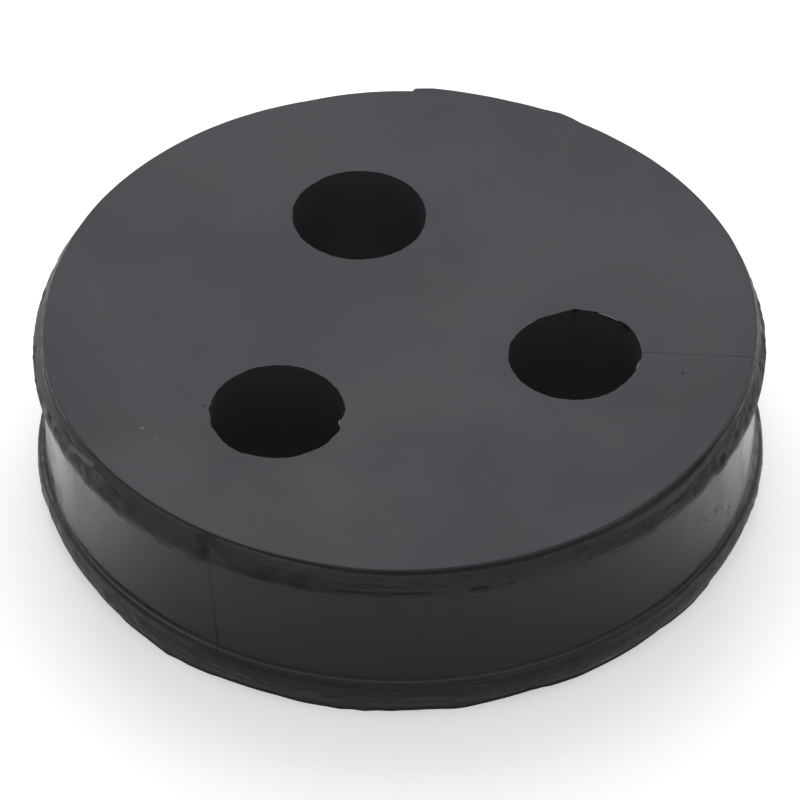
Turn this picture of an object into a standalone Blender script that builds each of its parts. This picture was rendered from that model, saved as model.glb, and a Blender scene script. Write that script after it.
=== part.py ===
"""Rubber cable entry insert: a thick moulded rubber disc with three slit cable holes.

Run with: blender --background --python part.py, or from Blender's text editor.
Units are metres and +Z is up. The disc lies flat, with the origin at the middle of its underside.

The disc is one moulding. Its rim has a lip at each face, and a shallow waist between the two lips.
Each cable hole has a knife slit that runs out to the rim, so that a cable can be laid in sideways.
"""
import math

import bmesh
import bpy

# Disc
DISC_DIAMETER = 0.1016
THICKNESS = 0.0268
RIM_STEPS = 72

# Lip section, from a face down to the waist
FACE_SETBACK = 0.00135
DROP_HEIGHT = 0.0008
DROP_FLARE = 0.0001
SLOPE_HEIGHT = 0.0030
RIDGE_BAND = 0.0005
UNDERSIDE_HEIGHT = 0.0011
UNDERSIDE_ROUND = 0.0004
UNDERSIDE_STEPS = 2
LIP_STAND = 0.0012
CORNER_CHAMFER = 0.0003

# Cable holes, three on a circle that sits a little off the disc's centre
HOLE_COUNT = 3
HOLE_DIAMETER = 0.0186
HOLE_CIRCLE_DIAMETER = 0.04875
HOLE_CIRCLE_OFFSET = (0.00064, -0.00113)
FIRST_HOLE_ANGLE = math.radians(-15.2)
HOLE_STEPS = 48

# Slits, cut by hand, so that each runs its own way: right, back and front left
SLIT_DIRECTIONS = (math.radians(-4.5), math.radians(75.0), math.radians(249.0))
SLIT_OFFSETS = (0.0012, 0.0, 0.0)
SLIT_GAP = 0.0002
CUT_MARGIN = 0.002

# Rubber
RUBBER_COLOUR = (0.045, 0.046, 0.049, 1.0)
RUBBER_ROUGHNESS = 0.55
SHARP_ANGLE = math.radians(30)


def clear_scene():
    """Remove the objects of the start-up scene."""
    for obj in list(bpy.data.objects):
        bpy.data.objects.remove(obj, do_unlink=True)


def rubber_material():
    """Black moulded rubber with a dull skin."""
    material = bpy.data.materials.new("black_rubber")
    material.use_nodes = True
    shader = material.node_tree.nodes["Principled BSDF"]
    shader.inputs["Base Color"].default_value = RUBBER_COLOUR
    shader.inputs["Roughness"].default_value = RUBBER_ROUGHNESS
    shader.inputs["Metallic"].default_value = 0.0
    return material


def mesh_object(name, bm):
    """Turn a bmesh into an object that is shaded smooth up to its sharp edges."""
    mesh = bpy.data.meshes.new(name)
    bm.to_mesh(mesh)
    bm.free()
    mesh.shade_smooth()
    mesh.set_sharp_from_angle(angle=SHARP_ANGLE)
    obj = bpy.data.objects.new(name, mesh)
    bpy.context.scene.collection.objects.link(obj)
    return obj


def lip_section():
    """Half of the rim's section as radius and depth below the face, from the face to the waist."""
    ridge_radius = DISC_DIAMETER / 2
    face_radius = ridge_radius - FACE_SETBACK
    waist_radius = ridge_radius - LIP_STAND
    ridge_top = DROP_HEIGHT + SLOPE_HEIGHT
    ridge_foot = ridge_top + RIDGE_BAND
    underside = ridge_foot + UNDERSIDE_HEIGHT

    section = [(face_radius, 0.0), (face_radius + DROP_FLARE, DROP_HEIGHT), (ridge_radius, ridge_top)]
    for step in range(UNDERSIDE_STEPS + 1):
        angle = step / UNDERSIDE_STEPS * math.pi / 2
        inward = UNDERSIDE_ROUND * (1 - math.cos(angle))
        down = UNDERSIDE_HEIGHT * math.sin(angle)
        section.append((ridge_radius - inward, ridge_foot + down))
    section.append((waist_radius + CORNER_CHAMFER, underside))
    section.append((waist_radius, underside + CORNER_CHAMFER))
    return section


def rim_profile():
    """The whole rim from the top face's edge down to the underside's edge, both lips alike."""
    half = lip_section()
    upper = [(radius, THICKNESS - depth) for radius, depth in half]
    lower = [(radius, depth) for radius, depth in reversed(half)]
    return upper + lower


def turned_disc():
    """Spin the rim's profile round the axis and close both faces."""
    bm = bmesh.new()
    verts = [bm.verts.new((radius, 0.0, height)) for radius, height in rim_profile()]
    edges = [bm.edges.new(pair) for pair in zip(verts, verts[1:])]
    bmesh.ops.spin(
        bm,
        geom=verts + edges,
        cent=(0.0, 0.0, 0.0),
        axis=(0.0, 0.0, 1.0),
        angle=2 * math.pi,
        steps=RIM_STEPS,
        use_merge=True,
    )
    bmesh.ops.holes_fill(bm, edges=bm.edges, sides=0)
    bmesh.ops.recalc_face_normals(bm, faces=bm.faces)
    return mesh_object("rubber_insert", bm)


def hole_centre(index):
    """Where a cable hole's axis stands, as X and Y."""
    angle = FIRST_HOLE_ANGLE + index / HOLE_COUNT * 2 * math.pi
    radius = HOLE_CIRCLE_DIAMETER / 2
    x = HOLE_CIRCLE_OFFSET[0] + radius * math.cos(angle)
    y = HOLE_CIRCLE_OFFSET[1] + radius * math.sin(angle)
    return x, y


def as_cutter(obj, x, y):
    """Stand a cutter at a place in plan, halfway up the disc, and keep it out of the model."""
    obj.location = (x, y, THICKNESS / 2)
    obj.hide_render = True
    obj.display_type = "WIRE"
    return obj


def hole_cutter(index):
    """A round bar that runs out of both faces."""
    bm = bmesh.new()
    bmesh.ops.create_cone(
        bm,
        cap_ends=True,
        segments=HOLE_STEPS,
        radius1=HOLE_DIAMETER / 2,
        radius2=HOLE_DIAMETER / 2,
        depth=THICKNESS + 2 * CUT_MARGIN,
    )
    x, y = hole_centre(index)
    return as_cutter(mesh_object(f"hole_cutter_{index + 1}", bm), x, y)


def slit_start(index):
    """Where a slit's line starts in its hole: beside the hole's axis, by the slit's own offset."""
    x, y = hole_centre(index)
    x -= SLIT_OFFSETS[index] * math.sin(SLIT_DIRECTIONS[index])
    y += SLIT_OFFSETS[index] * math.cos(SLIT_DIRECTIONS[index])
    return x, y


def slit_cutter(index):
    """A thin blade from inside a hole to beyond the rim, through both faces."""
    bm = bmesh.new()
    cube = bmesh.ops.create_cube(bm, size=1.0)
    bmesh.ops.translate(bm, verts=cube["verts"], vec=(0.5, 0.0, 0.0))
    blade = (DISC_DIAMETER, SLIT_GAP, THICKNESS + 2 * CUT_MARGIN)
    bmesh.ops.scale(bm, verts=cube["verts"], vec=blade)
    x, y = slit_start(index)
    cutter = as_cutter(mesh_object(f"slit_cutter_{index + 1}", bm), x, y)
    cutter.rotation_euler.z = SLIT_DIRECTIONS[index]
    return cutter


def cut(body, cutter):
    """Take a cutter's shape out of the body."""
    boolean = body.modifiers.new(cutter.name, "BOOLEAN")
    boolean.operation = "DIFFERENCE"
    boolean.solver = "EXACT"
    boolean.object = cutter


def build():
    clear_scene()
    body = turned_disc()
    body.data.materials.append(rubber_material())
    for index in range(HOLE_COUNT):
        cut(body, hole_cutter(index))
        cut(body, slit_cutter(index))


build()
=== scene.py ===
"""The looks of the rubber cable entry insert: skin, lips, slits and holes, on a pale studio floor."""
import math
from types import SimpleNamespace

import bmesh
import bpy
import numpy as np
from mathutils import Matrix, Vector, noise
from mathutils.bvhtree import BVHTree


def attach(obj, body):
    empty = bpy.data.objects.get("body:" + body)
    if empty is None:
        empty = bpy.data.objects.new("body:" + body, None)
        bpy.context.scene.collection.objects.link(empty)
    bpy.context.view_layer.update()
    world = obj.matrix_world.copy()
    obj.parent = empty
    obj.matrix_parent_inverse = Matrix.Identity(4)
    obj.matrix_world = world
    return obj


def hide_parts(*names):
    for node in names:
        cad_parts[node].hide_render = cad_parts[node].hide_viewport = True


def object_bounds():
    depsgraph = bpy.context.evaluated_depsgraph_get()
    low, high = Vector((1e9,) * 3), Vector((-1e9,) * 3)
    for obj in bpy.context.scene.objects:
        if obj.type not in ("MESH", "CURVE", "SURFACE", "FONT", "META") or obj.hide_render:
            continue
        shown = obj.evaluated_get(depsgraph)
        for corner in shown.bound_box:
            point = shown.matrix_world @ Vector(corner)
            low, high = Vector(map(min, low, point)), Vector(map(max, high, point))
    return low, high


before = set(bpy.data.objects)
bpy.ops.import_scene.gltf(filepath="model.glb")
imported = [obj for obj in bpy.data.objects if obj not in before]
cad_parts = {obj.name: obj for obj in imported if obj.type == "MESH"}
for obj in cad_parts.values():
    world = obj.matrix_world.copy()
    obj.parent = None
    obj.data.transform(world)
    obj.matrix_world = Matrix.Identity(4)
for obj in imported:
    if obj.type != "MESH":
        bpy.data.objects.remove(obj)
cad_low, cad_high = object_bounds()

MM = 0.001
NODE = "rubber_insert"

# The disc, from the frame and the same driving sizes as the solid
RIDGE_RADIUS = (cad_high.x - cad_low.x) / 2
THICKNESS = cad_high.z - cad_low.z
FACE_RADIUS = RIDGE_RADIUS - 1.35 * MM
WAIST_RADIUS = RIDGE_RADIUS - 1.2 * MM
FACE_ROUND = 0.15 * MM
DROP_FLARE = 0.1 * MM
DROP_FOOT = 0.8 * MM
RIDGE_TOP = 3.8 * MM
RIDGE_FOOT = 4.3 * MM
UNDERSIDE = 5.4 * MM
UNDERSIDE_ROUND = 0.4 * MM
RIM_STEPS = 840
SHARP_ANGLE = math.radians(35)
MERGE_GAP = 0.002 * MM

# Each lip's worn slope: its bulge and curve, the lean of the drop, and where the rim's own shape starts
SLOPE_BULGE = 0.25 * MM
SLOPE_CURVE = 0.85
DROP_LEAN = 0.04 * MM
LOWER_BULGE = 2.2 * MM
EDGE_DEPTH = 0.2 * MM
RIM_REACH = 0.8 * MM
SLOPE_END = RIDGE_TOP + 0.3 * MM
BAND_FADE = 0.12 * MM
FOOT_FADE = 0.1 * MM
BASE_FADE = 0.15 * MM
CREASE_LIFT = 1.15
FULL_CREASE = 0.16 * MM
FLASH_RISE = 0.08 * MM
FULL_DENT = 0.3

# How far soft lumps move each line of the lips and roughen the band above the ridge
FOOT_STRAY = 0.03 * MM
BULGE_STRAYS = (0.15, 0.06)
BASE_STRAYS = (0.06, 0.05)
FLASH_STRAY = 0.04 * MM

# The lower lip's ledge, and the flare at the foot of the waist
LEDGE_MIDDLE = 0.2 * MM
LEDGE_HALF = 0.45 * MM
FLARE_HEIGHT = 3.2 * MM
FLARE_CURVE = 1.5

# Painted light on the band between crease and bulge, pale flash with a painted highlight, and painted shade
# in a dent
BAND_PAINTED_LIGHT = 0.28
FLASH_PALE_AND_HIGHLIGHT = 0.66
DENT_PAINTED_SHADE = 0.7

# Rows of the section: in from a face's edge, down each lip's slope, down the waist below it, and
# round the fillet at the waist's foot, all in millimetres
FACE_ROWS = (1.2, 0.5)
UPPER_SLOPE_ROWS = tuple(np.arange(0.22, 1.7, 0.08)) + tuple(np.linspace(1.76, 3.8, 17))
LOWER_SLOPE_ROWS = tuple(np.linspace(0.3, 3.8, 13))
UPPER_WAIST_ROWS = (0.3,)
LOWER_WAIST_ROWS = (0.3, 0.8, 1.5, 3.0)
FILLET_ROWS = ((0.3, 0.0), (0.14, 0.03), (0.05, 0.12))
ROUND_STEPS = 4
UNDERSIDE_STEPS = 5

# How freely the skin wanders on each part of the section, as a share
EDGE_WANDER = 0.25
SLOPE_WANDER = 0.3
RIDGE_WANDER = 1.0
UNDERSIDE_CALM = 0.16
FILLET_WANDER = 0.1
WAIST_WANDER = 0.05

# How the lips change round the rim, as degrees and millimetres or a share from 0 to 1.
# How far the edge of the upper face, then of the lower one, strays out from round
FACE_EDGE = (
    (0, 0.0), (20, 0.1), (28, 0.0), (50, -0.08), (58, 0.0), (60, 0.3), (62, 0.48), (65, 0.22),
    (71, 0.18), (78, 0.4), (84, 0.72), (86, 0.6), (87.2, 0.5), (87.4, -0.08), (92, -0.08), (100, -0.22),
    (105, -0.38), (114, -0.18), (122, -0.06), (148, -0.06), (156, -0.2), (163, -0.34), (174, -0.4),
    (182, -0.34), (188, -0.12), (193, 0.0), (203, -0.02), (213, -0.14), (224, -0.18), (242, -0.15),
    (252, -0.06), (258, 0.08), (263, 0.24), (270, 0.32), (292, 0.35), (303, 0.32), (310, 0.2),
    (317, 0.04), (326, -0.05), (340, 0.0),
)
LOWER_EDGE = (
    (60, 0.0), (130, 0.0), (180, 0.1), (198, -0.1), (204, -0.22), (210, -0.22), (213, -0.08),
    (218, -0.08), (220, 0.08), (225, 0.14), (228, 0.35), (230, 0.53), (232, 0.33), (234, 0.38),
    (238, 0.25), (240, 0.06), (243, -0.02), (250, -0.05), (252, 0.09), (254, 0.2), (258, 0.23),
    (260, 0.38), (262, 0.21), (264, 0.36), (266, 0.12), (268, 0.16), (270, 0.04), (274, -0.01),
    (276, 0.1), (278, 0.31), (280, 0.29), (282, 0.1), (284, -0.05), (288, -0.26), (291, -0.38),
    (293, -0.3), (294, -0.12), (299, 0.06), (302, -0.04), (310, -0.09), (316, -0.21), (318, -0.04),
    (322, 0.12), (324, 0.16), (326, 0.07), (328.4, 0.12), (330, -0.09), (334, 0.05), (340, 0.15),
    (350, 0.15),
)
# How far the lower lip's ridge stands out
LOWER_RIDGES = (
    (0, 0.1), (176, 0.1), (190, 0.1), (198, -0.2), (204, -0.35), (212, -0.3), (225, -0.1), (240, 0.0),
    (335, 0.0), (345, 0.15), (352, 0.15),
)
# The upper lip: where the drop below the face ends
DROP_FEET = (
    (0, 0.5), (30, 0.6), (60, 0.8), (120, 0.8), (150, 0.5), (188, 0.6), (205, 0.6), (213, 0.5), (245, 0.5),
    (256, 0.75), (262, 1.0), (270, 1.1), (280, 1.2), (290, 1.3), (300, 1.28), (310, 1.6), (320, 1.75),
    (326, 1.5), (330, 1.1), (338, 0.9), (346, 0.6),
)
# The crease above that foot: its half width, and how deep it is
CREASE_WIDTHS = (
    (0, 0.1), (188, 0.1), (213, 0.2), (245, 0.2), (256, 0.24), (262, 0.32), (270, 0.34), (290, 0.38),
    (303, 0.36), (312, 0.5), (322, 0.62), (326, 0.45), (332, 0.28), (345, 0.12),
)
CREASE_DEPTHS = (
    (0, 0.0), (30, 0.04), (60, 0.06), (120, 0.06), (150, 0.0), (205, 0.02), (212, 0.1), (220, 0.17),
    (240, 0.14), (250, 0.15), (256, 0.12), (262, 0.12), (270, 0.16), (290, 0.15), (300, 0.15), (310, 0.1),
    (322, 0.1), (328, 0.12), (338, 0.06), (345, 0.03), (349, 0.0),
)
# How far down the slope bulges most
BULGE_DEPTHS = (
    (0, 1.3), (40, 1.8), (90, 2.3), (140, 1.7), (170, 2.2), (188, 2.6), (200, 2.4), (206, 1.9), (213, 1.5),
    (225, 1.7), (240, 1.95), (246, 1.65), (255, 1.8), (262, 2.1), (276, 2.3), (285, 2.5), (290, 3.0),
    (295, 2.8), (299, 2.2), (312, 2.3), (318, 2.25), (322, 1.85), (326, 1.6), (330, 1.5), (345, 1.4),
)
# The line of flash: how far down it runs, and how much of it stands
FLASH_DEPTHS = (
    (0, 0.6), (20, 0.7), (60, 1.7), (120, 1.8), (150, 0.8), (185, 0.8), (197, 1.1), (206, 2.0), (230, 2.4),
    (262, 2.9), (279, 2.9), (286, 2.9), (292, 2.3), (300, 1.95), (314, 2.0), (321, 1.85), (326, 1.25),
    (329, 1.15), (340, 1.0), (350, 0.75),
)
FLASH_RISES = (
    (0, 0.9), (20, 0.8), (30, 0.2), (50, 0.7), (80, 0.3), (110, 0.6), (130, 0.2), (145, 0.8), (175, 0.9),
    (184, 0.7), (186, 1.0), (196, 0.8), (199, 0.2), (204, 0.0), (258, 0.0), (262, 1.0), (270, 1.0),
    (271.5, 0.4), (273, 0.9), (278.4, 0.9), (279, 0.0), (285, 0.0), (285.6, 0.7), (286.4, 0.7), (287, 0.0),
    (299, 0.0), (302, 0.3), (314, 0.3), (318, 0.35), (321, 0.6), (322, 1.0), (325.8, 1.0), (326.8, 0.2),
    (328, 0.7), (346, 0.9), (352, 0.9),
)
# How dull the rough band above the ridge is, and how much painted shade darkens it
BASE_DULLNESS_AND_SHADE = (
    (0, 0.9), (20, 0.7), (60, 0.4), (120, 0.4), (160, 0.8), (190, 0.7), (204, 0.2), (212, 0.4),
    (225, 0.5), (240, 0.2), (247, 0.8), (256, 0.8), (264, 0.5), (272, 0.4), (280, 0.25), (290, 0.15),
    (300, 0.2), (310, 0.5), (320, 0.55), (330, 0.6), (340, 0.45), (346, 0.7),
)
# The lower lip: painted light on its slope, none in front, and how far its ledge rises
LOWER_PAINTED_LIGHTS = (
    (0, 0.45), (40, 0.2), (180, 0.2), (195, 0.35), (212, 0.3), (218, 0.0), (292, 0.0), (300, 0.32),
    (310, 0.44), (320, 0.52), (330, 0.48), (340, 0.42), (350, 0.5),
)
LEDGE_RISES = (
    (0, 0.1), (90, 0.0), (195, 0.0), (205, 0.05), (211, 0.13), (222, 0.15), (250, 0.16), (264, 0.14),
    (272, 0.1), (290, 0.0), (320, 0.0), (345, 0.15),
)
# How far the foot of the waist flares out
WAIST_FLARES = (
    (0, 0.6), (20, 0.4), (90, 0.1), (160, 0.3), (180, 0.35), (198, 0.3), (208, 0.0), (222, -0.1), (235, 0.0),
    (300, 0.0), (318, 0.12), (335, 0.34), (345, 0.52), (352, 0.6),
)

# Dents in the upper lip: degrees, depth below the face, half sizes across and down, and how deep
DENTS = (
    (238.4, 2.2, 0.95, 1.7, 0.36), (281.9, 3.75, 1.25, 0.28, 0.5), (286.9, 2.5, 0.3, 0.22, 0.2),
    (286.9, 3.6, 0.35, 0.25, 0.2), (330.0, 3.0, 0.8, 0.5, 0.14), (335.2, 2.6, 0.9, 0.5, 0.14),
    (342.0, 2.6, 0.9, 0.5, 0.18), (350.6, 2.2, 0.5, 1.7, 0.08), (358.0, 2.4, 0.9, 1.0, 0.2),
    (5.0, 2.2, 1.2, 1.0, 0.2), (12.0, 2.4, 0.8, 0.8, 0.18), (220.5, 1.7, 1.2, 0.3, 0.14),
    (205.5, 1.4, 1.6, 0.22, 0.14), (317.0, 2.6, 2.4, 0.25, 0.12), (266.0, 2.35, 3.2, 0.2, 0.12),
    (198.5, 2.8, 0.8, 0.5, 0.2), (201.5, 2.9, 0.4, 0.3, 0.2), (171.0, 2.2, 1.6, 0.9, 0.22),
    (163.0, 2.0, 0.7, 0.8, 0.2), (183.0, 2.4, 1.0, 0.6, 0.16), (262.3, 3.55, 2.6, 0.19, 0.26),
    (270.6, 3.6, 3.4, 0.19, 0.28), (250.0, 3.2, 2.2, 0.4, 0.12), (253.8, 3.5, 1.0, 0.3, 0.16),
)

# Slivers of flash left on the rim: degrees and depth at both ends, width, how proud, and how light
RIM_SLIVERS = (
    (350.6, 0.8, 353.4, 2.6, 0.10, 0.04, 0.65), (352.2, 0.9, 356.2, 1.9, 0.10, 0.04, 0.65),
    (349.2, 1.6, 351.0, 3.4, 0.08, 0.04, 0.65),
)

# Torn pale marks on the lips: degrees and depth at both ends, half width, and how pale
TORN_MARKS = (
    (207.2, 1.98, 213.0, 1.32, 0.5, 0.7), (213.4, 2.35, 216.5, 2.3, 0.22, 0.18),
    (200.6, 2.1, 201.3, 1.7, 0.12, 0.4), (263.8, 21.35, 276.5, 21.55, 0.1, 0.13),
    (277.0, 21.6, 283.0, 21.95, 0.1, 0.12), (321.9, 21.45, 324.6, 21.5, 0.14, 0.3),
    (285.4, 2.85, 286.4, 3.05, 0.16, 0.22),
)

# Cable holes and slits: right, back and front left
HOLE_RADIUS = 9.3 * MM
HOLE_CIRCLE_RADIUS = 24.375 * MM
HOLE_CIRCLE_CENTRE = (0.64 * MM, -1.13 * MM)
HOLE_ANGLES = tuple(math.radians(-15.2 + 120 * index) for index in range(3))
SLIT_DIRECTIONS = (math.radians(-4.5), math.radians(75.0), math.radians(249.0))
SLIT_OFFSETS = (1.2 * MM, 0.0, 0.0)
FRONT_LEFT = 2
HOLE_STEPS = 180
HOLE_ROWS = (0.0, 0.06, 0.16, 0.4, 1.0, 2.5, 5.0)
STRAY_FADE = 1.6 * MM
LEAST_STRAY = 0.3
RAGGED_FADE = 0.25 * MM
RAGGED_EDGE = 0.09 * MM
WALL_STRAY = 0.02 * MM
CUT_MARGIN = 2 * MM
SLIT_START = 6 * MM
SLIT_END = 60 * MM
SLIT_STEPS = 120
SLIT_LEVELS = 24
SLIT_SWAY = 0.05 * MM
SLIT_RIPPLE = 0.03 * MM
LEAN_START = 9 * MM
LEAN_RUN = 16 * MM
GAPE_START = 22 * MM
GAPE_RUN = 3 * MM
LIP_GAPE_FADE = 0.5 * MM

# How wide the slits gape at most, how wide the front left one is where it is shut, and the least, in mm
SLIT_WIDTHS = (0.075, 0.003, 0.12)
SHUT_WIDTH = 0.003
LEAST_WIDTH = 0.002

# How far the front left slit leans sideways on its way up, as heights and millimetres
SLIT_LEAN = ((6.0, 0.95), (7.8, 0.91), (10.5, 0.67), (14.6, 0.5), (17.2, 0.08), (27.0, 0.06))

# How the holes' edges stray from round, as degrees and millimetres: right, back and front left
HOLE_EDGES = (
    (
        (0, -0.06), (15, -0.05), (30, 0.14), (40, 0.24), (50, 0.18), (70, 0.16), (80, 0.1), (90, 0.26),
        (100, -0.1), (110, -0.26), (130, -0.28), (145, -0.16), (160, -0.05), (190, -0.1), (225, -0.18),
        (245, -0.22), (270, -0.24), (290, -0.24), (305, -0.38), (315, -0.55), (335, -0.5), (350, -0.32),
    ),
    (
        (0, 0.2), (30, 0.14), (70, 0.1), (95, 0.02), (120, 0.02), (135, -0.18), (142, 0.02), (180, 0.0),
        (205, 0.1), (235, 0.14), (250, 0.28), (270, 0.33), (290, 0.41), (310, 0.44), (330, 0.42),
        (345, 0.32),
    ),
    (
        (0, -0.1), (35, -0.13), (60, -0.04), (75, 0.06), (100, 0.02), (110, 0.14), (125, 0.06), (155, 0.12),
        (170, 0.0), (176, 0.16), (186, -0.04), (198, 0.2), (205, 0.06), (225, 0.24), (240, 0.3), (245, 0.06),
        (260, 0.03), (285, 0.11), (291, -0.04), (310, 0.06), (325, -0.06), (337, -0.02), (341, -0.4),
        (347, -0.56), (353, -0.3),
    ),
)

# A sliver: how deep its root sits, how blunt its ends are, and how much of a hole's one stands inwards
SLIVER_ROOT = 0.09 * MM
SLIVER_TIP = 0.04
SLIVER_INWARD = 0.42

# Flash at the holes' upper edges: which hole, degrees at both ends, width, and how light
HOLE_SLIVERS = (
    (0, 48.0, 68.5, 0.28, 0.84), (0, 340.5, 351.5, 0.22, 0.8), (0, 90.0, 121.0, 0.12, 0.7),
    (0, 124.0, 160.0, 0.13, 0.72), (2, 341.0, 348.0, 0.24, 0.8), (2, 118.0, 164.0, 0.1, 0.6),
)

# Pale specks and small pits on the upper face: plan position, radius, and how pale a speck is
SPECKS = (
    (-35.12, -21.42, 0.42, 0.75), (-33.04, -23.45, 0.45, 0.4), (-34.0, -26.32, 0.36, 0.25),
    (34.63, -2.47, 0.2, 0.06),
)
PITS = ((38.86, -11.44, 0.22), (40.23, -11.56, 0.12), (-26.75, -17.11, 0.17))

# Scuffs on the waist: degrees, height and radius in millimetres
SCUFFS = (
    (330.6, 13.2, 1.3), (328.2, 13.3, 0.9), (335.6, 9.4, 1.1), (326.6, 14.0, 0.8), (333.0, 12.0, 0.6),
)

# Noises in the skin, as scale, detail and seed, and the part of each that counts
CLOUD = (38.0, 3.0, 1.0)
WARM = (55.0, 2.0, 9.0)
MOTTLE = (420.0, 3.0, 2.0)
STREAK = (190.0, 3.0, 3.0)
GRAIN = (1500.0, 4.0, 4.0)
TORN_EDGE = (1700.0, 3.0, 12.0)
SCUFF_BREAKS = (1900.0, 3.0, 6.0)
MIDDLE_RANGE = (0.35, 0.65)
WARM_RANGE = (0.45, 0.65)
SCUFF_RANGE = (0.42, 0.66)

# Strength and depth of the grain and of the streaks
GRAIN_BUMP = (0.25, 0.04 * MM)
STREAK_BUMP = (0.18, 0.05 * MM)

# Heights between which the lower lip's ledge and the painted light in the corner above it lie: where each
# starts, is full, begins to fade and ends, in millimetres
LEDGE_LEVELS = (4.6, 5.0, 6.0, 6.3)
CORNER_LEVELS = (5.1, 5.35, 5.7, 6.7)

# Tones of the rubber, and how rough its skin is
BLOOM_DARK = (0.0222, 0.0234, 0.0300, 1.0)
BLOOM_PALE = (0.0297, 0.0311, 0.0390, 1.0)
BLOOM_WARM = (0.0300, 0.0282, 0.0355, 1.0)
LIP_DARK = (0.009, 0.0105, 0.0135, 1.0)
LIP_PALE = (0.0165, 0.0180, 0.0225, 1.0)
LIP_LEVEL = (0.050, 0.051, 0.056, 1.0)
# Painted shade under the lips and in the ledge's fillet; a paler ledge tone that is painted light in the
# corner above it, more on the left
LIP_UNDERSIDE_SHADE = (0.009, 0.009, 0.010, 1.0)
LEDGE_FILLET_SHADE = (0.006, 0.006, 0.008, 1.0)
LEDGE_TONE_AND_CORNER_LIGHT = (0.055, 0.056, 0.060, 1.0)
CORNER_LIGHT_LEFT = (0.10, 0.10, 0.105, 1.0)
WAIST_DARK = (0.0110, 0.0118, 0.0160, 1.0)
WAIST_PALE = (0.0155, 0.0165, 0.0220, 1.0)
HOLE_TONE = (0.034, 0.038, 0.042, 1.0)
# Painted shade in creases, dents and the dull band; pale flash and slivers, with painted light on the lips
PAINTED_SHADE_TONE = (0.005, 0.006, 0.008, 1.0)
PALE_FLASH_AND_LIGHT_TONE = (0.30, 0.30, 0.30, 1.0)
SCUFF_TONE = (0.012, 0.012, 0.014, 1.0)
TORN_TONE = (0.15, 0.15, 0.155, 1.0)
FACE_ROUGHNESS = (0.56, 0.64)
LIP_ROUGHNESS = (0.28, 0.56)
WAIST_ROUGHNESS = (0.13, 0.27)
BAND_ROUGHNESS = 0.33
DARK_ROUGHNESS = 0.8
WORN_ROUGHNESS = 0.65
FLASH_ROUGHNESS = 0.52
TORN_ROUGHNESS = 0.8
MARK_ROUGHNESS = 0.6
RUBBER_IOR = 1.47

# The view that fits the photograph
VIEW_ELEVATION = math.radians(42.581)
VIEW_ROLL = math.radians(-0.537)
VIEW_TARGET = Vector((0.021 * MM, -0.929 * MM, 12.7 * MM))
VIEW_DISTANCE = 977.2 * MM
VIEW_LENS = 315.0
VIEW_NEAR = 0.05
VIEW_FAR = 20.0

# The studio: floor with a painted pool of light that reflections see, sky and key lamp
WHITE = (1.0, 1.0, 1.0, 1.0)
FLOOR_SIZE = 12.0
FLOOR_DROP = 0.02 * MM
FLOOR_TONE = (0.8, 0.8, 0.8, 1.0)
FLOOR_GLOW = 0.45
FLOOR_TILT = 0.06
FLOOR_GLOSS = (0.05, 0.37)
SKY = (0.30, 0.65)
SKY_GLOSS = 0.3
KEY_PLACE = (-0.01, 0.22, 0.33)
KEY_AIM = (0.0, 0.01, 0.0)
KEY_SIZE = 0.3
KEY_POWER = 0.73


def hole_centre(index):
    """The plan position of a cable hole's axis."""
    x = HOLE_CIRCLE_CENTRE[0] + HOLE_CIRCLE_RADIUS * math.cos(HOLE_ANGLES[index])
    y = HOLE_CIRCLE_CENTRE[1] + HOLE_CIRCLE_RADIUS * math.sin(HOLE_ANGLES[index])
    return x, y


def add_object(name, data):
    """A new object in the scene."""
    obj = bpy.data.objects.new(name, data)
    bpy.context.scene.collection.objects.link(obj)
    return obj


def make_camera():
    """A long lens from the front, looking down on the disc."""
    back = Vector((0.0, -math.cos(VIEW_ELEVATION), math.sin(VIEW_ELEVATION)))
    side = Vector((1.0, 0.0, 0.0))
    up = back.cross(side)
    right = side * math.cos(VIEW_ROLL) + up * math.sin(VIEW_ROLL)
    above = up * math.cos(VIEW_ROLL) - side * math.sin(VIEW_ROLL)
    data = bpy.data.cameras.new("view")
    data.lens = VIEW_LENS
    data.clip_start = VIEW_NEAR
    data.clip_end = VIEW_FAR
    camera = add_object("view", data)
    turn = Matrix((right, above, back)).transposed()
    camera.matrix_world = Matrix.Translation(VIEW_TARGET + VIEW_DISTANCE * back) @ turn.to_4x4()
    bpy.context.scene.camera = camera


# Node helpers

def add_node(tree, kind, inputs=None, **settings):
    """Make a node, set its own settings, and link or fill its inputs by name or number."""
    node = tree.nodes.new(kind)
    for name, value in settings.items():
        setattr(node, name, value)
    for key, value in (inputs or {}).items():
        if isinstance(value, bpy.types.NodeSocket):
            tree.links.new(value, node.inputs[key])
        else:
            node.inputs[key].default_value = value
    return node


def math_node(tree, operation, *values):
    """One sum on numbers or sockets, as its output socket."""
    inputs = dict(enumerate(values))
    return add_node(tree, "ShaderNodeMath", inputs, operation=operation).outputs[0]


def times(tree, *values):
    """The product of numbers or sockets."""
    total = values[0]
    for value in values[1:]:
        total = math_node(tree, "MULTIPLY", total, value)
    return total


def larger(tree, first, second):
    """The larger of two numbers or sockets."""
    return math_node(tree, "MAXIMUM", first, second)


def vector_node(tree, operation, first, second):
    """One sum on two vectors, as its output sockets."""
    return add_node(tree, "ShaderNodeVectorMath", {0: first, 1: second}, operation=operation).outputs


def axes_of(tree, vector):
    """A vector's three numbers, as output sockets."""
    return add_node(tree, "ShaderNodeSeparateXYZ", {0: vector}).outputs


def noise_of(tree, place, scale, detail, seed):
    """Noise of about 0 to 1 round a middle of 0.5."""
    inputs = {"Vector": place, "W": seed, "Scale": scale, "Detail": detail}
    return add_node(tree, "ShaderNodeTexNoise", inputs, noise_dimensions="4D").outputs[0]


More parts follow.
